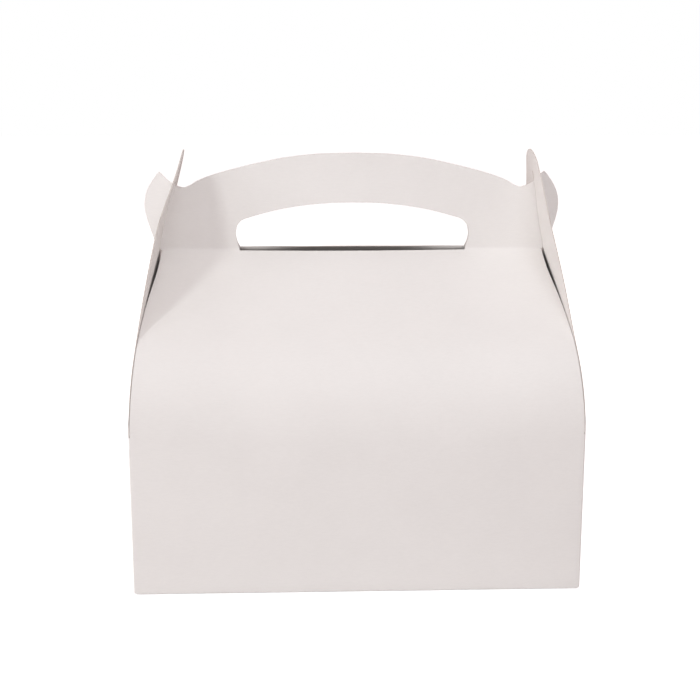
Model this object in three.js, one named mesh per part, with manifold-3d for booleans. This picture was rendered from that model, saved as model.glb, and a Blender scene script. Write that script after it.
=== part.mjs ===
// Handled cake box, folded from one blank of white paperboard.
// Units are millimetres, +Z is up, the origin is the middle of the underside,
// X runs along the handle and Y from the front wall (-Y) to the back wall (+Y).
import * as THREE from "three";
import { mergeVertices } from "three/addons/utils/BufferGeometryUtils.js";
import Module from "manifold-3d";

// Driving dimensions
const BOARD = 0.5; // thickness of the paperboard
const LENGTH = 230; // outside, along X
const DEPTH = 150; // outside, along Y
const WALL = 84; // height of the fold above the side walls
const RIDGE = 168; // height of the crease between roof and handle
const HANDLE_TOP = 220; // top of the arched handle
const HANDLE_DIP = 0.65; // height of the dips beside its arch, as a share of the handle's
const FLAP_TOP = 222; // tip of the end flaps
const TIP_RADIUS = 24; // rounding of that tip
const ROOF_RADIUS = 60; // bend of the front wall into the roof, at its side edges
const MIDDLE_RADIUS = 74; // the same bend at mid length, where the board is freer
const MIDDLE_DROP = 11; // the bend starts this much lower at mid length
const FOLD_RADIUS = 1; // outside radius of a folded edge
const CLEARANCE = 0.3; // between pieces that touch
const LAYER_GAP = 0.15; // between the layers of the bottom
const HANDLE_BOW = 4.6; // how far each handle panel stands off at mid crease
const BOW_MARGIN = 12; // the bow fades out this far inside the end flaps
const SLIT = 1.3; // widest opening between roof edge and end flap
const SLOT_HALF = 1.1; // half width of the slot in an end flap
const HOLE_HALF = 63.4; // half width of the hand hole
const HOLE_HEIGHT = 25.6; // height of the hand hole above the crease
const TAB_HALF = 45; // half width of the bottom's lock tab
const GLUE_FLAP = 18; // width of the glued strip inside the back wall

const HALF_X = LENGTH / 2;
const HALF_Y = DEPTH / 2;
const BOARD_COLOUR = 0xe9e6e3;

// Bowed end flap: share of its height, and how far in mm it has leaned in by then
const FLAP_LEAN = [
  [0, 0], [0.058, 0.25], [0.1449, 0.95], [0.2319, 1.85], [0.3188, 3.05],
  [0.4058, 4.75], [0.4928, 6.75], [0.5942, 9.35], [0.7101, 12.55], [0.8116, 15.45],
  [0.913, 18.45], [1, 21.05],
];

// How each end flap stands above the crease: further lean of its tip, and its twist
const RIGHT_STANCE = { lean: -2.2, twist: 0 };
const LEFT_STANCE = { lean: 3.2, twist: 0.07 };

// Hook and neck: distance beyond the end flap's face at the crease, and share of the
// handle's height
const HOOK = [
  [-0.2, 0.0115], [1.9, 0.0654], [4.9, 0.2308], [6.8, 0.3654], [7.4, 0.4808],
  [6.4, 0.5962], [3.7, 0.7], [0.4, 0.7885],
];
const HOOK_TIP = [-0.8, 0.8096];
const NECK = [HOOK_TIP, [-2.4, 0.7846], [-4.4, 0.7423], [-7.4, 0.6962], [-10.8, 0.6635]];

// Arch of the handle, as shares of the way out to the dip and up from it
const ARCH = [
  [1, 0], [0.965, 0.06], [0.918, 0.198], [0.852, 0.33], [0.769, 0.456], [0.659, 0.599],
  [0.535, 0.742], [0.396, 0.874], [0.209, 0.973],
];

// Hand hole, as shares of its half width and height: bowed side, then arched top
const HOLE_SIDE = [[0.987, 0.172], [1, 0.328], [0.987, 0.5], [0.953, 0.613]];
const HOLE_ARCH = [
  [0.907, 0.664], [0.781, 0.754], [0.631, 0.848], [0.442, 0.93], [0.221, 0.984], [0, 1],
];

// Side edge of an end flap, as shares of its half width and height
const FLAP_EDGE = [
  [1, 0.0043], [0.9946, 0.058], [0.969, 0.138], [0.927, 0.197], [0.8686, 0.249],
  [0.802, 0.294], [0.745, 0.339], [0.702, 0.391], [0.664, 0.449], [0.585, 0.572],
  [0.474, 0.717], [0.355, 0.837], [0.256, 0.9225],
];

const wasm = await Module();
wasm.setup();

// Turns a three.js geometry into a solid that can be joined and cut.
function solid(geometry) {
  const bare = geometry.clone();
  bare.deleteAttribute("normal");
  bare.deleteAttribute("uv");
  const merged = mergeVertices(bare, 1e-4);
  return new wasm.Manifold(new wasm.Mesh({
    numProp: 3,
    vertProperties: Float32Array.from(merged.attributes.position.array),
    triVerts: Uint32Array.from(merged.index.array),
  }));
}

// Turns a solid back into a three.js geometry.
function geometryOf(body) {
  const mesh = body.getMesh();
  const geometry = new THREE.BufferGeometry();
  const corners = Float32Array.from(mesh.vertProperties);
  geometry.setAttribute("position", new THREE.BufferAttribute(corners, 3));
  geometry.setIndex(new THREE.BufferAttribute(Uint32Array.from(mesh.triVerts), 1));
  geometry.computeVertexNormals();
  return geometry;
}

const FACING = {
  x: new THREE.Matrix4().makeBasis(
    new THREE.Vector3(0, 1, 0), new THREE.Vector3(0, 0, 1), new THREE.Vector3(1, 0, 0)),
  y: new THREE.Matrix4().makeBasis(
    new THREE.Vector3(1, 0, 0), new THREE.Vector3(0, 0, 1), new THREE.Vector3(0, -1, 0)),
  z: new THREE.Matrix4(),
};

// An outline drawn looking along one axis and extruded along it.
// Outlines across X are (y, z) pairs, across Y (x, z), across Z (x, y).
function prismGeometry(axis, outline, from, to, holes = [], steps = 1) {
  const shape = new THREE.Shape(outline.map(([u, v]) => new THREE.Vector2(u, v)));
  for (const hole of holes) {
    shape.holes.push(new THREE.Path(hole.map(([u, v]) => new THREE.Vector2(u, v))));
  }
  const geometry = new THREE.ExtrudeGeometry(shape, { depth: to - from, steps, bevelEnabled: false });
  geometry.translate(0, 0, axis === "y" ? -to : from);
  return geometry.applyMatrix4(FACING[axis]);
}

const prism = (...args) => solid(prismGeometry(...args));

// Points of a circular arc, angles in degrees.
function arc(u, v, radius, start, end, steps) {
  return Array.from({ length: steps + 1 }, (_, i) => {
    const angle = THREE.MathUtils.degToRad(start + ((end - start) * i) / steps);
    return [u + radius * Math.cos(angle), v + radius * Math.sin(angle)];
  });
}

// A smooth line through the given points.
function smooth(points, steps) {
  const curve = new THREE.SplineCurve(points.map(([u, v]) => new THREE.Vector2(u, v)));
  return curve.getPoints(steps).map((p) => [p.x, p.y]);
}

// The section of a sheet whose face follows a line, its board on the line's right.
function sheet(line, thickness) {
  const back = line.map(([u, v], i) => {
    const before = line[Math.max(i - 1, 0)];
    const after = line[Math.min(i + 1, line.length - 1)];
    const a = new THREE.Vector2(u - before[0], v - before[1]);
    const b = new THREE.Vector2(after[0] - u, after[1] - v);
    if (i === 0) a.copy(b);
    if (i === line.length - 1) b.copy(a);
    a.normalize();
    b.normalize();
    const across = new THREE.Vector2(a.y + b.y, -a.x - b.x).normalize();
    const reach = thickness / across.dot(new THREE.Vector2(a.y, -a.x));
    return [u + across.x * reach, v + across.y * reach];
  });
  return [...line, ...back.reverse()];
}

const mirrored = (outline) => outline.map(([u, v]) => [-u, v]).reverse();

// How far the outer face of an end flap has leaned in at a height.
const leanCurve = smooth(FLAP_LEAN.map(([u, v]) => [(FLAP_TOP - WALL) * u, v]), 44);
function flapFace(z) {
  const rise = z - WALL;
  const next = leanCurve.findIndex(([height]) => height >= rise);
  if (next <= 0) return HALF_X - (next === 0 ? 0 : leanCurve.at(-1)[1]);
  const [h0, l0] = leanCurve[next - 1];
  const [h1, l1] = leanCurve[next];
  return HALF_X - (l0 + ((l1 - l0) * (rise - h0)) / (h1 - h0));
}

// Face of the front, from wall to handle: a bend tangent to the wall, then straight to
// the crease. The bend is softer at mid length than at the side edges.
const handleFace = CLEARANCE / 2 + BOARD;
function profile(x) {
  const ends = THREE.MathUtils.smoothstep(Math.abs(x), HALF_X - 70, HALF_X - 2);
  const start = WALL - MIDDLE_DROP * (1 - ends);
  const radius = THREE.MathUtils.lerp(MIDDLE_RADIUS, ROOF_RADIUS, ends);
  const inset = HALF_Y - radius - handleFace;
  const rise = RIDGE - start;
  const angle = Math.atan2(inset, rise) + Math.asin(radius / Math.hypot(inset, rise));
  return { start, radius, angle };
}
function faceAt(x, z) {
  const { start, radius, angle } = profile(x);
  if (z <= start) return -HALF_Y;
  if (z >= RIDGE) return -handleFace;
  if (z > start + radius * Math.sin(angle)) return -handleFace - (RIDGE - z) * Math.tan(angle);
  return -HALF_Y + radius - Math.sqrt(radius ** 2 - (z - start) ** 2);
}

// Side view of that face at the side edges. The back is its mirror image.
const straightBetween = ([u0, v0], [u1, v1], steps) => Array.from({ length: steps }, (_, i) => [
  u0 + ((u1 - u0) * (i + 1)) / steps, v0 + ((v1 - v0) * (i + 1)) / steps]);
const BEND = THREE.MathUtils.radToDeg(profile(HALF_X).angle);
const BAND_START = WALL - MIDDLE_DROP - 2;
const bend = arc(-HALF_Y + ROOF_RADIUS, WALL, ROOF_RADIUS, 180, 180 - BEND, 12);
const roofLine = [
  [-HALF_Y, BAND_START],
  ...straightBetween([-HALF_Y, BAND_START], bend[0], 4),
  ...bend.slice(1),
  ...straightBetween(bend.at(-1), [-handleFace, RIDGE], 4),
  ...straightBetween([-handleFace, RIDGE], [-handleFace, HANDLE_TOP + 1], 4),
];

// Front view of roof and handle. The roof's side edges follow the end flaps with a
// slit that is widest below the crease; the hooks reach out through the flaps' slots.
const slit = (z) => BOARD + SLIT * Math.exp(-(((z - RIDGE + 8) / 11) ** 2));
const roofEdge = Array.from({ length: 13 }, (_, i) => {
  const z = WALL + (i * (RIDGE - WALL)) / 12;
  return [flapFace(z) - BOARD * 1.05 - slit(z), z];
});
const onHandle = (share) => RIDGE + (HANDLE_TOP - RIDGE) * share;
const hookAt = ([out, up]) => [flapFace(RIDGE) + out, onHandle(up)];
const dip = [flapFace(RIDGE) - BOW_MARGIN - 1.8, onHandle(HANDLE_DIP)];
const arch = ARCH.map(([u, v]) => [dip[0] * u, dip[1] + (HANDLE_TOP - dip[1]) * v]);
const frontHalf = [
  [roofEdge[0][0], BAND_START - 1],
  ...roofEdge,
  ...smooth(HOOK.map(hookAt), 18),
  ...smooth([...NECK.map(hookAt), ...arch], 44),
];
const frontOutline = [...frontHalf, [0, HANDLE_TOP], ...mirrored(frontHalf)];

const inHole = ([u, v]) => [HOLE_HALF * u, RIDGE + HOLE_HEIGHT * v];
const holeHalf = [
  inHole([0.965, 0.016]),
  ...smooth(HOLE_SIDE.map(inHole), 8),
  ...smooth(HOLE_ARCH.map(inHole), 14),
];
const handHole = [...holeHalf, ...mirrored(holeHalf).slice(1)];

// Softens the bend towards mid length, and bows the handle panels, which are drawn
// together at the slots, apart between them.
function shaped(geometry) {
  const position = geometry.attributes.position;
  const reach = flapFace(RIDGE) - BOW_MARGIN;
  for (let i = 0; i < position.count; i += 1) {
    const x = position.getX(i);
    const z = position.getZ(i);
    const along = Math.abs(x) < reach ? Math.cos((Math.PI * x) / (2 * reach)) ** 2 : 0;
    const below = THREE.MathUtils.smoothstep(z, WALL + 22, RIDGE);
    const above = 1 - 0.86 * THREE.MathUtils.smoothstep(z, RIDGE, HANDLE_TOP);
    const softer = faceAt(x, z) - faceAt(HALF_X, z);
    position.setY(i, position.getY(i) + softer - HANDLE_BOW * along * below * above);
  }
  return geometry;
}

// Front roof and handle panel in one sheet, with the crease between them.
function roofPanel() {
  const band = prismGeometry("x", sheet(roofLine, BOARD), -HALF_X, HALF_X, [], 24);
  return solid(shaped(band))
    .intersect(prism("y", frontOutline, -HALF_Y - 1, HALF_Y + 1, [handHole]));
}

// Four walls in one ring, with rounded vertical folds. Front and back go over into the
// roof panels before they start to bend.
function wallRing() {
  const ring = (grow, radius) => [
    ...arc(HALF_X - grow - radius, HALF_Y - grow - radius, radius, 0, 90, 4),
    ...arc(-HALF_X + grow + radius, HALF_Y - grow - radius, radius, 90, 180, 4),
    ...arc(-HALF_X + grow + radius, -HALF_Y + grow + radius, radius, 180, 270, 4),
    ...arc(HALF_X - grow - radius, -HALF_Y + grow + radius, radius, 270, 360, 4),
  ];
  const top = WALL - BOARD / 2 - CLEARANCE;
  const upper = [
    [-HALF_X + 1.5, BAND_START + 1], [HALF_X - 1.5, BAND_START + 1],
    [HALF_X - 1.5, WALL + 1], [-HALF_X + 1.5, WALL + 1],
  ];
  return prism("z", ring(0, FOLD_RADIUS), FOLD_RADIUS + 0.4, top,
    [ring(BOARD, FOLD_RADIUS - BOARD).reverse()])
    .subtract(prism("y", upper, -HALF_Y - 1, HALF_Y + 1));
}

// Lock bottom. Each panel is the section across its fold, cut to its plan outline.
const LAYER = BOARD + LAYER_GAP;
const bottomFold = (half) => [
  [-half, FOLD_RADIUS + 0.9],
  ...arc(-half + FOLD_RADIUS, FOLD_RADIUS, FOLD_RADIUS, 180, 270, 5),
];

// The face line runs down the wall and inwards, so the board is on its left.
const sheetInside = (line) => sheet([...line].reverse(), BOARD);

// Front panel, lowest, with the tab that rises through the notch of the back panel.
function frontBottom() {
  const line = [
    ...bottomFold(HALF_Y), [-7, 0], [-1, LAYER * 1.1], [5, LAYER * 3 - 0.1], [8, LAYER * 3],
    [30, LAYER * 3],
  ];
  const half = [
    [HALF_X - 1.6, -HALF_Y - 1], [HALF_X - 1.6, -HALF_Y + 1.6], [HALF_X - 12, -HALF_Y + 9],
    [HALF_X - 15, -HALF_Y + 17], [HALF_X - 17, -HALF_Y + 31], [HALF_X - 19, -16],
    [HALF_X - 29, -5.5], [TAB_HALF + 3, -4], [TAB_HALF - 0.5, 0], [TAB_HALF - 2, 8],
    [TAB_HALF - 4, 19], [TAB_HALF - 8.5, 24],
  ];
  return prism("x", sheetInside(line), -HALF_X, HALF_X)
    .intersect(prism("z", [...mirrored(half), ...half].reverse(), -1, 3));
}

// Back panel, above the side panels, notched for the tab.
function backBottom() {
  const line = [
    ...bottomFold(HALF_Y), [-HALF_Y + 4, 0], [-HALF_Y + 9, LAYER * 0.8],
    [-HALF_Y + 14, LAYER * 2], [30, LAYER * 2],
  ];
  const half = [
    [HALF_X - 1.6, -HALF_Y - 1], [HALF_X - 1.6, -HALF_Y + 1.6], [HALF_X - 12, -HALF_Y + 9],
    [HALF_X - 13, -HALF_Y + 17], [HALF_X - 18, 6], [HALF_X - 27, 19], [TAB_HALF + 9, 21.5],
    [TAB_HALF + 5.5, 18], [TAB_HALF + 4, -4], [TAB_HALF + 1, -8.5],
  ];
  return prism("x", sheetInside(line), -HALF_X, HALF_X)
    .intersect(prism("z", [...mirrored(half), ...half].reverse(), -1, 3))
    .rotate([0, 0, 180]);
}

// Side panels, between the other two.
function sideBottom(turn) {
  const line = [
    ...bottomFold(HALF_X), [-HALF_X + 4.5, 0], [-HALF_X + 10.5, LAYER], [-HALF_X + 57, LAYER],
  ];
  const outline = [
    [-HALF_X - 1, -HALF_Y + 1.8], [-HALF_X + 1.4, -HALF_Y + 2.4],
    [-HALF_X + 10.8, -HALF_Y + 10.1], [-HALF_X + 39, -HALF_Y + 18],
    [-HALF_X + 52, -HALF_Y + 42], [-HALF_X + 55, -12], [-HALF_X + 55, 12],
    [-HALF_X + 52, HALF_Y - 42], [-HALF_X + 39, HALF_Y - 25], [-HALF_X + 20, HALF_Y - 16.6],
    [-HALF_X + 11.3, HALF_Y - 15.8], [-HALF_X + 10.7, HALF_Y - 10.1],
    [-HALF_X + 1.4, HALF_Y - 2.4], [-HALF_X - 1, HALF_Y - 1.8],
  ];
  const flipped = outline.map(([x, y]) => [x, -y]).reverse();
  const panel = prism("y", sheetInside(line), -HALF_Y, HALF_Y)
    .intersect(prism("z", turn ? flipped : outline, -1, 3));
  return turn ? panel.rotate([0, 0, 180]) : panel;
}

// Strip folded from the left side wall and glued inside the back wall.
function glueFlap() {
  const inner = HALF_X - BOARD - 0.2;
  const outline = [
    [-inner, 4], [-inner + GLUE_FLAP, 9], [-inner + GLUE_FLAP, WALL - 12], [-inner, WALL - 4],
  ];
  return prism("y", outline, HALF_Y - BOARD * 2, HALF_Y - BOARD * 0.8);
}

function carton() {
  const front = roofPanel();
  return [
    front, front.rotate([0, 0, 180]), frontBottom(), backBottom(), sideBottom(false),
    sideBottom(true), glueFlap(),
  ].reduce((whole, piece) => whole.add(piece), wallRing());
}

// Height on the end flap's face at a distance from its fold.
function heightOnFlap(distance) {
  let z = WALL;
  while (Math.hypot(HALF_X - flapFace(z), z - WALL) < distance) z += 0.05;
  return z;
}

// End flap: folded at the top of the side wall, bowed inwards, shouldered in its side
// view, with a tongue that is slotted for the handle's hook to pass as the flap turns.
// Drawn for the right side.
function endFlap(stance) {
  const face = leanCurve.map(([height, lean]) => [HALF_X - lean, WALL + height])
    .filter(([, z], i) => i === 0 || z <= FLAP_TOP + 0.5);
  const skin = sheet([...face].reverse(), BOARD);
  const root = arc(HALF_X - BOARD / 2, WALL, BOARD / 2, 360, 180, 6);
  const section = [...skin.slice(0, face.length - 1), ...root, ...skin.slice(face.length + 1)];
  const width = HALF_Y - FOLD_RADIUS - 0.2;
  const half = [
    [width, WALL - 1], [width, WALL],
    ...smooth(FLAP_EDGE.map(([u, v]) => [width * u, WALL + (FLAP_TOP - WALL) * v]), 36),
    ...arc(0, FLAP_TOP - TIP_RADIUS, TIP_RADIUS, 50, 90, 6),
  ];
  const [tipX, tipZ] = hookAt(HOOK_TIP);
  const reach = Math.hypot(HALF_X - BOARD / 2 - tipX, tipZ - WALL) + CLEARANCE * 2;
  const slotLow = RIDGE - 0.7;
  const slotHigh = heightOnFlap(reach);
  const slot = [
    [-SLOT_HALF, slotLow], [SLOT_HALF, slotLow],
    ...arc(0, slotHigh - SLOT_HALF, SLOT_HALF, 0, 180, 6),
  ];
  const inner = HALF_X - leanCurve.at(-1)[1] - 10;
  const strip = prismGeometry("y", section, -HALF_Y, HALF_Y);
  const position = strip.attributes.position;
  for (let i = 0; i < position.count; i += 1) {
    const up = THREE.MathUtils.smoothstep(position.getZ(i), RIDGE + 12, FLAP_TOP);
    const over = stance.lean + stance.twist * position.getY(i);
    position.setX(i, position.getX(i) - over * up);
  }
  return solid(strip)
    .intersect(prism("x", [...half, ...mirrored(half).slice(1)], inner, HALF_X + 2))
    .subtract(prism("x", slot, inner, HALF_X + 2));
}

function part(name, body) {
  const material = new THREE.MeshStandardMaterial({
    color: BOARD_COLOUR, roughness: 0.55, metalness: 0, name: "white paperboard",
  });
  const mesh = new THREE.Mesh(geometryOf(body), material);
  mesh.name = name;
  return mesh;
}

const box = new THREE.Group();
box.add(part("carton", carton()));
box.add(part("right_end_flap", endFlap(RIGHT_STANCE)));
box.add(part("left_end_flap", endFlap(LEFT_STANCE).rotate([0, 0, 180])));

export default box;
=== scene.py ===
"""Handled cake box in white paperboard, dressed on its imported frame."""
import math

import bmesh
import bpy
import numpy as np
from bpy.props import FloatProperty, FloatVectorProperty, PointerProperty
from mathutils import Euler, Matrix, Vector
from mathutils.geometry import delaunay_2d_cdt


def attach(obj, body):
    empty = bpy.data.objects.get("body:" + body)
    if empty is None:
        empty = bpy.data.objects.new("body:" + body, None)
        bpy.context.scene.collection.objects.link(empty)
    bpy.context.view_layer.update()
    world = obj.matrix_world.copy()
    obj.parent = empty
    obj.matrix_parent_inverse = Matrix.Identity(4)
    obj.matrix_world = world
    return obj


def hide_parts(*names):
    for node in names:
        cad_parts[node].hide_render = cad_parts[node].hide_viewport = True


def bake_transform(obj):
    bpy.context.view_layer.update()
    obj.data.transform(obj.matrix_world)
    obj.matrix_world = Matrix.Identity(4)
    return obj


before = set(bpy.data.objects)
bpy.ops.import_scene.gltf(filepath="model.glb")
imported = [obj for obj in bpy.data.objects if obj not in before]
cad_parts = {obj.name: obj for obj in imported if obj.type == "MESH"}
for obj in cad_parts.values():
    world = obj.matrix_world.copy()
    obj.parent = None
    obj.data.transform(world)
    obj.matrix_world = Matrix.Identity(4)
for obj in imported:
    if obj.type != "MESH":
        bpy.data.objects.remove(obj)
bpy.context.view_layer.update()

bl_info = {
    "name": "Handled cake box",
    "version": (1, 0, 0),
    "blender": (4, 5, 0),
    "location": "View3D > Sidebar > Cake box",
    "description": "Builds the folded board, its materials and its studio",
    "category": "Object",
}

MM = 0.001
LENGTH, DEPTH, WALL, RIDGE = 230.0, 150.0, 84.0, 168.0
HANDLE_TOP, FLAP_TOP, FOLD = 220.0, 222.0, 1.0
HALF_X, HALF_Y = LENGTH / 2, DEPTH / 2
WALL_TOP = WALL - 0.55  # the side walls end just under the end flaps' folds
BEND_LENGTH = math.pi / 2 * FOLD
FACE = 0.65  # outer face of a handle panel, from the middle plane between the two
LAYER = 0.65  # from one layer of the bottom to the next
WELD = 0.002  # corners this close are one
SIDE_RADIUS, SIDE_START = 60.0, WALL  # bend into the roof, at the side edges
MIDDLE_RADIUS, MIDDLE_START = 74.0, 73.0  # the same bend at mid length
BOW_HALF = 92.0  # half of the length over which a handle panel bows
TIP_RADIUS, SLOT_HALF, SLOT_TOP = 24.0, 1.1, 210.2  # end flap's tip and its slot
FOLD_LINE = 83.75  # height at which an end flap turns
BACK_LIP = 1.5  # board left below the back panel's hand hole
STANCES = (("right", -2.2, 0), ("left", 3.2, 0.045))  # lean of each flap's tip, and twist
FLAP_LEAN = [
    (0, 0), (8, 0.25), (20, 0.95), (32, 1.85), (44, 3.05), (56, 4.75), (68, 6.75),
    (82, 9.35), (98, 12.55), (112, 15.45), (126, 18.45), (138, 21.05),
]


# Small helpers
def linear(hex_colour):
    """An sRGB hex colour as linear RGBA."""
    channels = [int(hex_colour[i:i + 2], 16) / 255 for i in (1, 3, 5)]
    return tuple(c / 12.92 if c <= 0.04045 else ((c + 0.055) / 1.055) ** 2.4
                 for c in channels) + (1.0,)


def smoothstep(value, low, high):
    t = np.clip((np.asarray(value, float) - low) / (high - low), 0, 1)
    return t * t * (3 - 2 * t)


def spline(points, steps):
    """A smooth line through the points, as evenly timed Catmull-Rom pieces."""
    p = np.array(points, float)
    spots = np.linspace(0, len(p) - 1, steps + 1)
    i = np.minimum(spots.astype(int), len(p) - 2)
    t = (spots - i)[:, None]
    p0, p1 = p[np.maximum(i - 1, 0)], p[i]
    p2, p3 = p[i + 1], p[np.minimum(i + 2, len(p) - 1)]
    v0, v1 = (p2 - p0) / 2, (p3 - p1) / 2
    line = ((2 * p1 - 2 * p2 + v0 + v1) * t ** 3 + (-3 * p1 + 3 * p2 - 2 * v0 - v1) * t ** 2
            + v0 * t + p1)
    return [tuple(q) for q in line]


def arc(u, v, radius, start, end, steps):
    return [(u + radius * math.cos(math.radians(start + (end - start) * i / steps)),
             v + radius * math.sin(math.radians(start + (end - start) * i / steps)))
            for i in range(steps + 1)]


def mirrored(outline):
    return [(-u, v) for u, v in reversed(outline)]


def apply_modifiers(obj):
    """Bakes an object's modifiers into its mesh."""
    graph = bpy.context.evaluated_depsgraph_get()
    mesh = bpy.data.meshes.new_from_object(obj.evaluated_get(graph))
    obj.modifiers.clear()
    old, obj.data = obj.data, mesh
    bpy.data.meshes.remove(old)
    return obj


# Shape of the sheet
LEAN = np.array(spline(FLAP_LEAN, 120))


def flap_face(z):
    """X of the right end flap's outer face at a height."""
    return HALF_X - np.interp(np.asarray(z, float) - WALL, LEAN[:, 0], LEAN[:, 1])


def front_face(x, z, bow, lip=0.0):
    """Y of the outer face of front wall, roof and handle panel. All arrays, in mm.

    A lip left below the hand hole goes on in the roof's slope at mid length.
    """
    x, z = np.abs(np.asarray(x, float)), np.asarray(z, float)
    ends = smoothstep(x, 45, 113)
    start = MIDDLE_START + (SIDE_START - MIDDLE_START) * ends
    radius = MIDDLE_RADIUS + (SIDE_RADIUS - MIDDLE_RADIUS) * ends
    inset, rise = HALF_Y - radius - FACE, RIDGE - start
    bend = np.arctan2(inset, rise) + np.arcsin(radius / np.hypot(inset, rise))
    over = np.clip(z - start, 0, radius * np.sin(bend))
    y_arc = -HALF_Y + radius - np.sqrt(radius ** 2 - over ** 2)
    soft = 0.4
    drop = (RIDGE - z) / soft
    eased = soft * np.where(drop > 30, drop, np.log1p(np.exp(np.minimum(drop, 30))))
    flat = (1 - smoothstep(x, 22, 52)) * (z < RIDGE + lip + 0.01) * (lip > 0)
    y_line = -FACE - np.tan(bend) * (eased + (RIDGE - z - eased) * flat)
    y = np.where(z < start + radius * np.sin(bend), y_arc, y_line)
    along = np.where(x < BOW_HALF, np.cos(np.pi * x / (2 * BOW_HALF)) ** 2, 0)
    below = smoothstep(z, WALL + 22, RIDGE)
    above = 1 - 0.86 * smoothstep(z, RIDGE, HANDLE_TOP)
    return y - bow * along * below * above


def slit(z):
    """Opening between the roof's slanted edge and the end flap, at a height."""
    return 0.2 + 1.5 * math.exp(-(((z - RIDGE + 8) / 12) ** 2))


def handle_edge():
    """Front outline of roof and handle from the wall's fold round to the arch's middle."""
    heights = np.linspace(WALL, RIDGE, 29)
    roof = [(float(flap_face(z)) - 0.525 - slit(z), float(z)) for z in heights]
    hook = spline([(104.6, RIDGE + 0.6), (106.7, 171.4), (109.7, 180), (111.6, 187),
                   (112.2, 193), (111.2, 199), (108.5, 204.4), (105.2, 209)], 36)
    neck = spline([(104, 210.1), (102.4, 208.8), (100.4, 206.6), (97.4, 204.2), (94, 202.5),
                   (91, 201.8), (87.8, 202.9), (83.5, 205.4), (77.5, 207.8), (70, 210.1),
                   (60, 212.7), (48.7, 215.3), (36, 217.7), (19, 219.5), (0, 220)], 90)
    return roof + hook + neck


def hand_hole(lip):
    half = [(61.2, RIDGE + (lip or -0.2))]
    half += spline([(62.6, 172.4), (63.4, 176.4), (62.6, 180.8), (60.4, 183.7)], 16)
    half += spline([(57.5, 185), (49.5, 187.3), (40, 189.7), (28, 191.8), (14, 193.2),
                    (0, 193.6)], 30)
    return half + mirrored(half)[1:]


def layer_front(y):
    """Underside of the front lock panel: its tab climbs through the back panel's notch."""
    return np.interp(y, [-75, -7, -1, 5, 8, 40],
                     [0, 0, LAYER * 1.1, LAYER * 3 - 0.1, LAYER * 3, LAYER * 3])


def layer_back(y):
    """Underside of the back lock panel, above the side panels."""
    return np.interp(y, [-75, -71, -66, -61, 40], [0, 0, LAYER * 0.8, LAYER * 2, LAYER * 2])


def layer_side(x):
    """Underside of a side lock panel, between the other two."""
    return np.interp(x, [-115, -110.5, -104.5, -50], [0, 0, LAYER, LAYER])


FRONT_LOCK = [(113.4, -73.4), (103, -66), (100, -58), (98, -44), (96, -16), (86, -5.5),
              (48, -4), (44.5, 0), (43, 8), (41, 19), (36.5, 24)]
BACK_LOCK = [(113.4, -73.4), (103, -66), (102, -58), (97, 6), (88, 19), (54, 21.5),
             (50.5, 18), (49, -4), (46, -8.5)]
SIDE_LOCK = [(-113.6, -72.6), (-104.2, -64.9), (-76, -57), (-63, -33), (-60, -12), (-60, 12),
             (-63, 33), (-76, 50), (-95, 58.4), (-103.7, 59.2), (-104.3, 64.9), (-113.6, 72.6)]


# Flat blank to mesh
def inside(points, polygon):
    """Which points lie inside a polygon."""
    x, y = points[:, 0], points[:, 1]
    result = np.zeros(len(points), bool)
    a = np.array(polygon)
    for (x0, y0), (x1, y1) in zip(a, np.roll(a, -1, 0)):
        if y0 != y1:
            crosses = (y0 > y) != (y1 > y)
            result ^= crosses & (x < (x1 - x0) * (y - y0) / (y1 - y0) + x0)
    return result


def split_at_lines(outline, us, vs):
    """The outline with a corner wherever it crosses a grid line."""
    out = []
    closed = list(outline) + [outline[0]]
    for (u0, v0), (u1, v1) in zip(closed, closed[1:]):
        cuts = {0.0}
        for lines, a, b in ((us, u0, u1), (vs, v0, v1)):
            if abs(b - a) > 1e-6:
                t = (lines - a) / (b - a)
                cuts.update(t[(t > 1e-3) & (t < 1 - 1e-3)].tolist())
        last = None
        for t in sorted(cuts):
            spot = (u0 + (u1 - u0) * t, v0 + (v1 - v0) * t)
            if last is None or math.dist(last, spot) > 0.04:
                out.append(spot)
                last = spot
    return out


def turning(flat, faces):
    """Twice each flat triangle's area, positive where it is wound anticlockwise."""
    a, b, c = (flat[faces[:, i]] for i in range(3))
    return (b[:, 0] - a[:, 0]) * (c[:, 1] - a[:, 1]) - (b[:, 1] - a[:, 1]) * (c[:, 0] - a[:, 0])


def oriented(flat, faces):
    """Faces wound anticlockwise in the flat."""
    return np.where((turning(flat, faces) < 0)[:, None], faces[:, ::-1], faces)


def facing_out(points, faces):
    """Faces of a folded front panel, wound to face -Y on the wall and down below."""
    a, b, c = (points[faces[:, i]] for i in range(3))
    normal = np.cross(b - a, c - a)
    wrong = np.where(points[faces].mean(1)[:, 2] > 2.6, normal[:, 1] > 0, normal[:, 2] > 0)
    return np.where(wrong[:, None], faces[:, ::-1], faces)


def grid_faces(rows, columns):
    """Triangles over points that run row by row."""
    corners = [r * columns + i for r in range(rows - 1) for i in range(columns - 1)]
    return np.array([t for a in corners for t in (
        (a, a + 1, a + columns + 1), (a, a + columns + 1, a + columns))])


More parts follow.
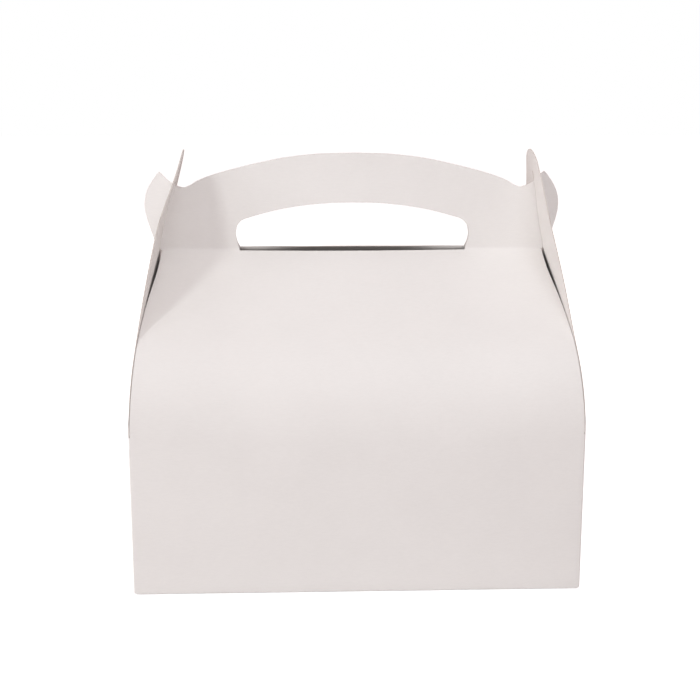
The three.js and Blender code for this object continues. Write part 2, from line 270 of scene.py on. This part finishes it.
def fill(outline, us, vs, holes=()):
    """Triangles over a flat outline, with corners on a grid. Returns points and faces."""
    loops = [split_at_lines(loop, us, vs) for loop in (outline, *holes)]
    rim = np.array([p for loop in loops for p in loop])
    grid = np.array(np.meshgrid(us, vs)).reshape(2, -1).T
    keep = inside(grid, outline)
    for hole in holes:
        keep &= ~inside(grid, hole)
    grid = grid[keep]
    near = np.zeros(len(grid), bool)
    for chunk in np.array_split(rim, max(1, len(rim) // 200)):
        gap = np.abs(grid[:, None] - chunk[None]).max(2)
        near |= (gap < 0.25).any(1)
    points = np.vstack([rim, grid[~near]])
    edges, base = [], 0
    for loop in loops:
        n = len(loop)
        edges += [(base + i, base + (i + 1) % n) for i in range(n)]
        base += n
    verts, _, faces, *_ = delaunay_2d_cdt([Vector(p) for p in points], edges, [], 0, 1e-5)
    flat = np.array([tuple(v) for v in verts])
    faces = np.array([f for f in faces if len(f) == 3])
    middle = flat[faces].mean(1)
    good = inside(middle, outline)
    for hole in holes:
        good &= ~inside(middle, hole)
    return flat, faces[good & (np.abs(turning(flat, faces)) > 1e-6)]


V_WALL = np.unique(np.round(np.concatenate([
    FOLD - BEND_LENGTH * np.array([0, 0.25, 0.5, 0.75, 1]), np.linspace(5, 80, 19),
    [WALL_TOP]]), 4))


def sheet_mesh(name, parts, materials, thickness):
    """Joins mapped sheets, welds their shared edges and gives them the board's thickness."""
    verts = np.vstack([p for p, _ in parts])
    faces, base = [], 0
    for points, tris in parts:
        faces.append(tris + base)
        base += len(points)
    mesh = bpy.data.meshes.new(name)
    mesh.from_pydata((verts * MM).tolist(), [], np.vstack(faces).tolist())
    bm = bmesh.new()
    bm.from_mesh(mesh)
    bmesh.ops.remove_doubles(bm, verts=bm.verts, dist=WELD * MM)
    bmesh.ops.dissolve_degenerate(bm, edges=bm.edges, dist=1e-7)
    bm.to_mesh(mesh)
    bm.free()
    obj = bpy.data.objects.new(name, mesh)
    bpy.context.scene.collection.objects.link(obj)
    for material in materials:
        mesh.materials.append(material)
    solid = obj.modifiers.new("board", "SOLIDIFY")
    solid.thickness = thickness * MM
    solid.offset = -1
    solid.use_even_offset = True
    solid.use_quality_normals = True
    solid.material_offset = 1
    solid.material_offset_rim = 2
    apply_modifiers(obj)
    obj.data.polygons.foreach_set("use_smooth", [True] * len(obj.data.polygons))
    obj.data.set_sharp_from_angle(angle=math.radians(34))
    return obj


def long_panel(bow, lock, layer, lip):
    """Front or back: lock panel, wall, roof and handle in one sheet, facing -Y."""
    edge = handle_edge()
    down = [(x, FOLD - BEND_LENGTH - (y + HALF_Y - FOLD)) for x, y in lock]
    side = [(114.0, FOLD), (114.0, WALL)] + edge
    right = list(reversed(down)) + [(113.6, 0.2)] + side
    left = mirrored(right)
    outline = right + left[1:]
    us = np.linspace(-112, 112, 57)
    low = min(v for _, v in outline)
    vs = np.concatenate([V_WALL, np.arange(low, FOLD - BEND_LENGTH - 0.6, 3.0), [
        WALL, *np.arange(87.5, 165, 3.5),
        *(RIDGE + np.array([-2, -1.2, -0.7, -0.3, 0, 0.3, 0.7, 1.1, 2])),
        *np.arange(173, 219, 3.5)]])
    flat, faces = fill(outline, us, np.unique(np.round(vs, 4)), [hand_hole(lip)])
    u, v = flat[:, 0], flat[:, 1]
    y_up = front_face(u, np.maximum(v, FOLD), bow, lip)
    run = np.maximum(FOLD - v, 0)
    turn = np.clip(run / FOLD, 0, math.pi / 2)
    flat_run = np.maximum(run - BEND_LENGTH, 0)
    y_low = -HALF_Y + FOLD * (1 - np.cos(turn)) + flat_run
    y = np.where(v >= FOLD, y_up, y_low)
    z = np.where(v >= FOLD, v, FOLD * (1 - np.sin(turn)) + layer(y_low))
    return np.column_stack([u, y, z]), faces


def side_panel():
    """Right side wall with its lock panel, facing +X."""
    down = [(-y, FOLD - BEND_LENGTH - (x + HALF_X - FOLD)) for x, y in SIDE_LOCK]
    outline = [(74.0, FOLD), (74.0, WALL_TOP), (-74.0, WALL_TOP), (-74.0, FOLD), (-73.6, 0.2),
               *reversed(down), (73.6, 0.2)]
    low = min(v for _, v in outline)
    us = np.linspace(-72, 72, 31)
    vs = np.unique(np.round(np.concatenate(
        [V_WALL, np.arange(low, FOLD - BEND_LENGTH - 0.6, 3.0)]), 4))
    flat, faces = fill(outline, us, vs)
    u, v = flat[:, 0], flat[:, 1]
    run = np.maximum(FOLD - v, 0)
    turn = np.clip(run / FOLD, 0, math.pi / 2)
    x = -HALF_X + FOLD * (1 - np.cos(turn)) + np.maximum(run - BEND_LENGTH, 0)
    z = np.where(v >= FOLD, v, FOLD * (1 - np.sin(turn)) + layer_side(x))
    return np.column_stack([-x, u, z]), oriented(flat, faces)


def corner_strip(x, y, start):
    """A vertical fold round its axis: a quarter turn from one wall's edge to the next."""
    rows = V_WALL[V_WALL >= FOLD]
    turns = np.radians(start + np.linspace(0, 90, 7))
    points = np.array([(x + FOLD * math.cos(t), y + FOLD * math.sin(t), z)
                       for z in rows for t in turns])
    return points, grid_faces(len(rows), len(turns))


def turned(part):
    """A mapped sheet turned half round about Z."""
    points, faces = part
    return points * np.array([-1, -1, 1]), faces


def glue_flap():
    """The glued strip inside the back wall, facing the back wall."""
    outline = [(-114.45, 4), (-97, 9), (-97, WALL - 12), (-114.45, WALL - 4)]
    flat, faces = fill(outline, np.arange(-113, -98, 3.0), np.arange(8, 80, 4.0))
    faces = oriented(flat, faces)[:, ::-1]
    return np.column_stack([flat[:, 0], np.full(len(flat), 74.46), flat[:, 1]]), faces


def end_flap_outline():
    """Outline of an end flap and of its slot, in Y and height."""
    half = [(73.8, WALL - 0.2), (73.8, WALL + 0.1)]
    half += spline([(73.8, WALL + 0.6), (73.4, 92), (71.5, 103), (68.4, 111.2), (64.1, 118.4),
                    (59.2, 124.6), (55, 130.8), (51.8, 138), (49, 146), (43.2, 163), (35, 183),
                    (26.2, 199.5), (18.9, 211.3)], 80)
    half += arc(0, FLAP_TOP - TIP_RADIUS, TIP_RADIUS, 50, 90, 10)
    slot = [(-SLOT_HALF, RIDGE - 0.7), (SLOT_HALF, RIDGE - 0.7)]
    slot += arc(0, SLOT_TOP - SLOT_HALF, SLOT_HALF, 0, 180, 10)
    return half + mirrored(half)[1:], slot


# Materials
def node(tree, kind, inputs=None, **settings):
    """Adds a node, sets its properties and its inputs, linked or plain."""
    made = tree.nodes.new(kind)
    for name, value in settings.items():
        setattr(made, name, value)
    for key, value in (inputs or {}).items():
        if isinstance(value, bpy.types.NodeSocket):
            tree.links.new(value, made.inputs[key])
        else:
            made.inputs[key].default_value = value
    return made


def board_material(name, light, dark, rough, fibre, bump):
    """Paperboard: cloudy tone, short fibres one way, and their relief. Sizes in mm."""
    material = bpy.data.materials.new(name)
    material.use_nodes = True
    tree = material.node_tree
    tree.nodes.clear()
    place = node(tree, "ShaderNodeTexCoord").outputs["Object"]
    cloud = node(tree, "ShaderNodeTexNoise", {
        "Vector": place, "Scale": 1 / (34 * MM), "Detail": 3.0, "Roughness": 0.55})
    grain_place = node(tree, "ShaderNodeMapping", {"Vector": place, "Scale": (0.28, 1, 1)})
    grain = node(tree, "ShaderNodeTexNoise", {
        "Vector": grain_place.outputs["Vector"], "Scale": 1 / (fibre * MM), "Detail": 4.0,
        "Roughness": 0.6})
    speck = node(tree, "ShaderNodeTexNoise", {
        "Vector": place, "Scale": 1 / (0.9 * MM), "Detail": 2.0, "Roughness": 0.7})
    both = node(tree, "ShaderNodeMath", {
        0: cloud.outputs["Fac"], 1: grain.outputs["Fac"]}, operation="ADD")
    spread = node(tree, "ShaderNodeMapRange", {
        "Value": both.outputs[0], "From Min": 0.72, "From Max": 1.28})
    colour = node(tree, "ShaderNodeMix", {
        0: spread.outputs[0], 6: dark, 7: light}, data_type="RGBA")
    gloss = node(tree, "ShaderNodeMapRange", {
        "Value": cloud.outputs["Fac"], "From Min": 0.3, "From Max": 0.7,
        "To Min": rough - 0.05, "To Max": rough + 0.05})
    mixed = node(tree, "ShaderNodeMath", {
        0: grain.outputs["Fac"], 1: speck.outputs["Fac"]}, operation="ADD")
    relief = node(tree, "ShaderNodeBump", {
        "Height": mixed.outputs[0], "Strength": 0.5, "Distance": bump * MM})
    skin = node(tree, "ShaderNodeBsdfPrincipled", {
        "Base Color": colour.outputs[2], "Roughness": gloss.outputs[0], "IOR": 1.5,
        "Normal": relief.outputs[0], "Sheen Weight": 0.04, "Sheen Roughness": 0.5})
    node(tree, "ShaderNodeOutputMaterial", {"Surface": skin.outputs[0]})
    return material


def board_materials():
    looks = bpy.context.scene.cake_box_looks
    if "board_outside" not in bpy.data.materials:
        def pair(colour):
            tone = tuple(colour) + (1.0,)
            return tone, tuple(c * 0.965 for c in colour) + (1.0,)
        board_material("board_outside", *pair(looks.outside), looks.roughness, 0.8, 0.012)
        board_material("board_inside", *pair(looks.inside), 0.78, 0.55, 0.02)
        board_material("board_cut_edge", *pair(looks.edge), 0.85, 0.3, 0.015)
    return [bpy.data.materials[n] for n in ("board_outside", "board_inside", "board_cut_edge")]


# Properties
def length_property(name, text, default, low, high):
    return FloatProperty(name=name, description=text, default=default * MM, min=low * MM,
                         max=high * MM, subtype="DISTANCE", unit="LENGTH")


def colour_property(name, text, hex_colour):
    return FloatVectorProperty(name=name, description=text, subtype="COLOR", size=3,
                               default=linear(hex_colour)[:3], min=0.0, max=1.0)


class CakeBoxSizes(bpy.types.PropertyGroup):
    """Sizes that can change without leaving the frame."""
    board: length_property("Board", "Thickness of the paperboard", 0.5, 0.2, 1.0)
    bow: length_property("Handle bow", "How far a handle panel stands off at mid crease",
                         4.6, 0.0, 8.0)
    bead: length_property("Crease bead", "Radius of the bead pressed up inside a crease",
                          0.22, 0.05, 0.5)


class CakeBoxLooks(bpy.types.PropertyGroup):
    """Colours and finish of the board."""
    outside: colour_property("Outside", "Coated outer face", "#f0edeb")
    inside: colour_property("Inside", "Uncoated inner face", "#eeeae7")
    edge: colour_property("Cut edge", "Die-cut edge of the board", "#d8d1cb")
    floor: colour_property("Floor", "Studio floor", "#f4f4f4")
    roughness: FloatProperty(name="Roughness", description="Roughness of the coated face",
                             default=0.5, min=0.2, max=0.9, subtype="FACTOR")


# Operators
class CAKEBOX_OT_carton(bpy.types.Operator):
    """Folds the carton: walls, roof, handle panels, lock bottom and glued strip"""
    bl_idname = "cakebox.carton"
    bl_label = "Carton"

    def execute(self, context):
        sizes = context.scene.cake_box_sizes
        bow = sizes.bow / MM
        front, faces = long_panel(bow, FRONT_LOCK, layer_front, 0.0)
        back, back_faces = long_panel(bow, BACK_LOCK, layer_back, BACK_LIP)
        right = side_panel()
        parts = [
            (front, facing_out(front, faces)), turned((back, facing_out(back, back_faces))),
            right, turned(right),
            corner_strip(114, -74, -90), corner_strip(114, 74, 0),
            corner_strip(-114, 74, 90), corner_strip(-114, -74, 180),
        ]
        carton = sheet_mesh("carton_board", parts, board_materials(), sizes.board / MM)
        strip = sheet_mesh("glued_strip", [glue_flap()], board_materials(), sizes.board / MM)
        for piece in (carton, strip):
            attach(piece, "carton")
        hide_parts("carton")
        return {"FINISHED"}


class CAKEBOX_OT_end_flaps(bpy.types.Operator):
    """Makes the two end flaps, bowed inwards and slotted for the hooks"""
    bl_idname = "cakebox.end_flaps"
    bl_label = "End flaps"

    def execute(self, context):
        outline, slot = end_flap_outline()
        heights = np.arange(WALL, 221, 3.5)
        flat, faces = fill(outline, np.linspace(-72, 72, 37), heights, [slot])
        faces = oriented(flat, faces)
        up = smoothstep(flat[:, 1], RIDGE + 12, FLAP_TOP)
        for side, lean, twist in STANCES:
            x = flap_face(flat[:, 1]) - (lean + twist * flat[:, 0]) * up
            part = (np.column_stack([x, flat]), faces)
            part = turned(part) if side == "left" else part
            flap = sheet_mesh(f"{side}_flap_board", [part], board_materials(),
                              context.scene.cake_box_sizes.board / MM)
            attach(flap, f"{side}_flap")
            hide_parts(f"{side}_end_flap")
        return {"FINISHED"}


class CAKEBOX_OT_flap_folds(bpy.types.Operator):
    """Bridges each fold above a side wall with a strip that bends as the flap turns"""
    bl_idname = "cakebox.flap_folds"
    bl_label = "Flap folds"

    def execute(self, context):
        above = [0.15, 0.3, 0.5, 0.8, 1.2]
        heights = np.array([-z for z in reversed(above)] + [0] + above) + FOLD_LINE
        widths = np.linspace(-73.6, 73.6, 33)
        grid = np.array([(HALF_X - 0.04 - 0.05 * math.exp(-((z - FOLD_LINE) / 0.35) ** 2), y, z)
                         for z in heights for y in widths])
        faces = grid_faces(len(heights), len(widths))
        for side, part in (("right", (grid, faces)), ("left", turned((grid, faces)))):
            strip = sheet_mesh(f"{side}_flap_fold", [part], board_materials(), 0.4)
            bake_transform(strip)
        return {"FINISHED"}


def bead_nodes():
    """Geometry Nodes that press a round bead along every edge of a mesh of lines."""
    tree = bpy.data.node_groups.new("crease_bead", "GeometryNodeTree")
    face = tree.interface
    face.new_socket("Geometry", in_out="INPUT", socket_type="NodeSocketGeometry")
    radius = face.new_socket("Bead radius", in_out="INPUT", socket_type="NodeSocketFloat")
    board = face.new_socket("Board", in_out="INPUT", socket_type="NodeSocketMaterial")
    face.new_socket("Geometry", in_out="OUTPUT", socket_type="NodeSocketGeometry")
    given = node(tree, "NodeGroupInput")
    lines = node(tree, "GeometryNodeMeshToCurve", {"Mesh": given.outputs["Geometry"]})
    ring = node(tree, "GeometryNodeCurvePrimitiveCircle", {
        "Resolution": 8, "Radius": given.outputs["Bead radius"]})
    swept = node(tree, "GeometryNodeCurveToMesh", {
        "Curve": lines.outputs[0], "Profile Curve": ring.outputs[0], "Fill Caps": True})
    real = node(tree, "GeometryNodeRealizeInstances", {"Geometry": swept.outputs[0]})
    soft = node(tree, "GeometryNodeSetShadeSmooth", {"Geometry": real.outputs[0]})
    dressed = node(tree, "GeometryNodeSetMaterial", {
        "Geometry": soft.outputs[0], "Material": given.outputs["Board"]})
    node(tree, "NodeGroupOutput", {"Geometry": dressed.outputs[0]})
    return tree, radius.identifier, board.identifier


class CAKEBOX_OT_crease_beads(bpy.types.Operator):
    """Raises the small bead that a crease rule leaves inside each fold"""
    bl_idname = "cakebox.crease_beads"
    bl_label = "Crease beads"

    def execute(self, context):
        lines = []
        for sx, sy in ((1, 1), (1, -1), (-1, 1), (-1, -1)):
            lines.append([(sx * 114.4, sy * 74.4, z) for z in np.linspace(3, 82, 30)])
        bow = context.scene.cake_box_sizes.bow / MM
        for sign in (1, -1):
            for low, high in ((-100, -64), (64, 100)):
                xs = np.linspace(low, high, 14)
                ys = front_face(xs, np.full(14, RIDGE - 0.1), bow) + 0.58
                lines.append([(x, sign * y, RIDGE - 0.35) for x, y in zip(xs, ys)])
        verts, edges = [], []
        for line in lines:
            edges += [(len(verts) + i, len(verts) + i + 1) for i in range(len(line) - 1)]
            verts += [tuple(c * MM for c in p) for p in line]
        mesh = bpy.data.meshes.new("crease_beads")
        mesh.from_pydata(verts, edges, [])
        beads = bpy.data.objects.new("crease_beads", mesh)
        context.scene.collection.objects.link(beads)
        tree, radius, board = bead_nodes()
        modifier = beads.modifiers.new("beads", "NODES")
        modifier.node_group = tree
        modifier[radius] = context.scene.cake_box_sizes.bead
        modifier[board] = board_materials()[1]
        apply_modifiers(beads)
        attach(beads, "carton")
        return {"FINISHED"}


def lamp(name, place, target, size, power, colour):
    data = bpy.data.lights.new(name, "AREA")
    data.shape = "DISK"
    data.size = size
    data.energy = power
    data.color = linear(colour)[:3]
    obj = bpy.data.objects.new(name, data)
    obj.location = place
    obj.rotation_euler = (Vector(target) - Vector(place)).to_track_quat("-Z", "Y").to_euler()
    bpy.context.scene.collection.objects.link(obj)


def add_camera(scene):
    """The photo's view. Lens and shift are worked out from a picture 700 pixels wide."""
    width, focal, centre = 700, 1239.96, 344.25
    data = bpy.data.cameras.new("camera")
    data.sensor_width = 36
    data.lens = focal / width * 36
    data.shift_x = (width / 2 - centre) / width
    data.clip_end = 20
    camera = bpy.data.objects.new("camera", data)
    camera.location = (-0.0286, -0.67384, 0.25454)
    camera.rotation_euler = Euler((math.radians(90 - 11.97), 0, math.radians(-2.05)), "XYZ")
    scene.collection.objects.link(camera)
    scene.camera = camera


def add_lamps():
    """A small key from the left for the flap's shadow, with soft lamps round the box."""
    middle = (0, 0, 0.12)
    lamp("key", (-1.2, -1.07, 0.66), middle, 0.34, 6.1, "#f8fefb")
    lamp("left", (-1.3, -0.5, 0.5), middle, 0.6, 2.1, "#f4f7ff")
    lamp("near", (0.1, -0.55, 0.72), middle, 0.5, 1.6, "#f3fcff")
    lamp("top", (0.1, -0.25, 1.5), (0, 0, 0.1), 1.2, 2.6, "#ffffff")
    lamp("back_fill", (-0.8, 1.4, 0.8), middle, 1.2, 4.0, "#fff6f2")


def add_surroundings(scene):
    """White where it is seen, and a soft warm light on the board."""
    world = bpy.data.worlds.new("surroundings")
    scene.world = world
    world.use_nodes = True
    tree = world.node_tree
    tree.nodes.clear()
    path = node(tree, "ShaderNodeLightPath")
    seen = node(tree, "ShaderNodeMath", {
        0: path.outputs["Is Camera Ray"], 1: path.outputs["Is Glossy Ray"]},
        operation="MAXIMUM")
    seen = node(tree, "ShaderNodeMath", {
        0: seen.outputs[0], 1: path.outputs["Is Transmission Ray"]}, operation="MAXIMUM")
    ambient = node(tree, "ShaderNodeBackground", {"Color": linear("#ffecea"), "Strength": 0.43})
    white = node(tree, "ShaderNodeBackground", {"Color": (1, 1, 1, 1), "Strength": 1.0})
    both = node(tree, "ShaderNodeMixShader", {
        0: seen.outputs[0], 1: ambient.outputs[0], 2: white.outputs[0]})
    node(tree, "ShaderNodeOutputWorld", {"Surface": both.outputs[0]})


def add_floor(scene):
    """A plain pale floor, lifted to the background's white where the camera sees it."""
    reach, height = 6, -0.0004
    corners = [(x, y, height) for x, y in (
        (-reach, -reach), (reach, -reach), (reach, reach), (-reach, reach))]
    mesh = bpy.data.meshes.new("floor")
    mesh.from_pydata(corners, [], [(0, 1, 2, 3)])
    floor = bpy.data.objects.new("floor", mesh)
    scene.collection.objects.link(floor)
    material = bpy.data.materials.new("floor")
    material.use_nodes = True
    tree = material.node_tree
    tree.nodes.clear()
    path = node(tree, "ShaderNodeLightPath")
    tone = tuple(scene.cake_box_looks.floor) + (1.0,)
    matt = node(tree, "ShaderNodeBsdfDiffuse", {"Color": tone})
    lift = node(tree, "ShaderNodeMath", {
        0: path.outputs["Is Camera Ray"], 1: 0.72}, operation="MULTIPLY")
    glow = node(tree, "ShaderNodeEmission", {
        "Color": (1, 1, 1, 1), "Strength": lift.outputs[0]})
    lit = node(tree, "ShaderNodeAddShader", {0: matt.outputs[0], 1: glow.outputs[0]})
    node(tree, "ShaderNodeOutputMaterial", {"Surface": lit.outputs[0]})
    mesh.materials.append(material)


class CAKEBOX_OT_stage(bpy.types.Operator):
    """Sets the camera, the lamps, the white surroundings and the floor"""
    bl_idname = "cakebox.stage"
    bl_label = "Stage"

    def execute(self, context):
        context.scene.view_settings.view_transform = "Standard"
        add_camera(context.scene)
        add_lamps()
        add_surroundings(context.scene)
        add_floor(context.scene)
        return {"FINISHED"}


class CAKEBOX_PT_panel(bpy.types.Panel):
    """Lists the box's sizes, looks and steps"""
    bl_idname = "CAKEBOX_PT_panel"
    bl_label = "Handled cake box"
    bl_space_type = "VIEW_3D"
    bl_region_type = "UI"
    bl_category = "Cake box"

    def draw(self, context):
        for group in (context.scene.cake_box_sizes, context.scene.cake_box_looks):
            column = self.layout.column(align=True)
            for name in group.__annotations__:
                column.prop(group, name)
        for step in STEPS:
            self.layout.operator(step.bl_idname)


STEPS = (CAKEBOX_OT_stage, CAKEBOX_OT_carton, CAKEBOX_OT_end_flaps, CAKEBOX_OT_flap_folds,
         CAKEBOX_OT_crease_beads)
CLASSES = (CakeBoxSizes, CakeBoxLooks, *STEPS, CAKEBOX_PT_panel)


def register():
    for cls in CLASSES:
        bpy.utils.register_class(cls)
    bpy.types.Scene.cake_box_sizes = PointerProperty(type=CakeBoxSizes)
    bpy.types.Scene.cake_box_looks = PointerProperty(type=CakeBoxLooks)


def unregister():
    del bpy.types.Scene.cake_box_looks
    del bpy.types.Scene.cake_box_sizes
    for cls in reversed(CLASSES):
        bpy.utils.unregister_class(cls)


def main():
    register()
    bpy.ops.cakebox.stage()
    bpy.ops.cakebox.carton()
    bpy.ops.cakebox.end_flaps()
    bpy.ops.cakebox.flap_folds()
    bpy.ops.cakebox.crease_beads()


if __name__ == "__main__":
    main()
